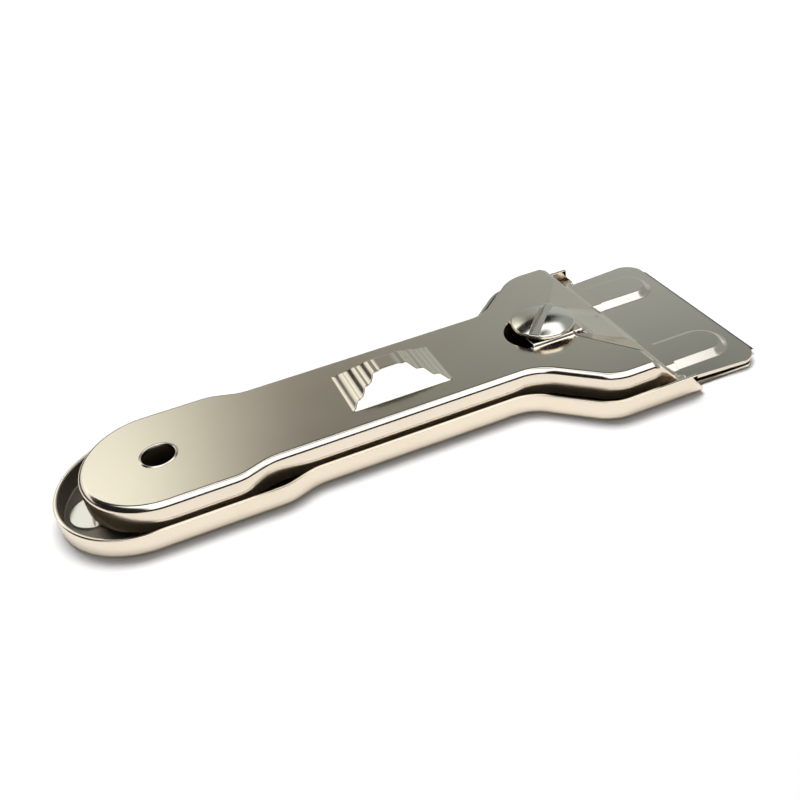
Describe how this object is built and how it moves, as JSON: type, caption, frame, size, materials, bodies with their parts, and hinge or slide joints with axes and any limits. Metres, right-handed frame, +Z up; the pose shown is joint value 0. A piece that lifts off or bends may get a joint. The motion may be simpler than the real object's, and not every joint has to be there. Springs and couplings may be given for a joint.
{
  "type": "razor blade scraper",
  "caption": "Flat hand scraper with nested pressed-steel shells, a slotted clamp screw and a ribbed plate that holds a single-edge blade and slides back to cover its edge.",
  "frame": {"origin": "on the base, under the middle of the tool's length and width with the blade out", "axes": "+X along the tool from the round tail to the blade's edge, +Y across it, +Z up from the base to the screw's head"},
  "size_m": [0.1372, 0.0498, 0.0129],
  "materials": {
    "shell_nickel": "bright nickel plate on pressed steel",
    "cover_nickel": "satin nickel plate on pressed steel",
    "holder_nickel": "satin nickel plate on pressed steel",
    "blade_steel": "ground blade steel",
    "pin_steel": "turned steel",
    "screw_nickel": "turned steel, bright nickel plate",
    "washer_steel": "hardened spring steel",
    "bush_steel": "turned and blackened steel",
    "spring_steel": "rolled spring strip"
  },
  "bodies": {
    "lower": {"lower_shell": "shell_nickel", "threaded_bush": "bush_steel", "tail_spring": "spring_steel"},
    "carriage": {"upper_shell": "cover_nickel", "blade_holder": "holder_nickel", "locating_pins": "pin_steel"},
    "blade": {"razor_blade": "blade_steel"},
    "washer": {"spring_washer": "washer_steel"},
    "screw": {"clamp_screw": "screw_nickel"}
  },
  "joints": [
    {"name": "carriage_slide", "type": "slide", "parent": "lower", "child": "carriage", "axis": [1, 0, 0], "range_m": [-0.0031, 0]},
    {"name": "blade_slide", "type": "slide", "parent": "carriage", "child": "blade", "axis": [1, 0, 0], "range_m": [0, 0.025]},
    {"name": "screw_lift", "type": "slide", "parent": "lower", "child": "washer", "axis": [0, 0, 1], "range_m": [0, 0.0014]},
    {"name": "screw_turn", "type": "hinge", "parent": "washer", "child": "screw", "pos_m": [0.0313, 0, 0.009], "axis": [0, 0, 1], "range_deg": [0, 720]}
  ],
  "couplings": [
    {"joint": "screw_turn", "follows": "screw_lift", "rad_per_m": 8975.9}
  ]
}
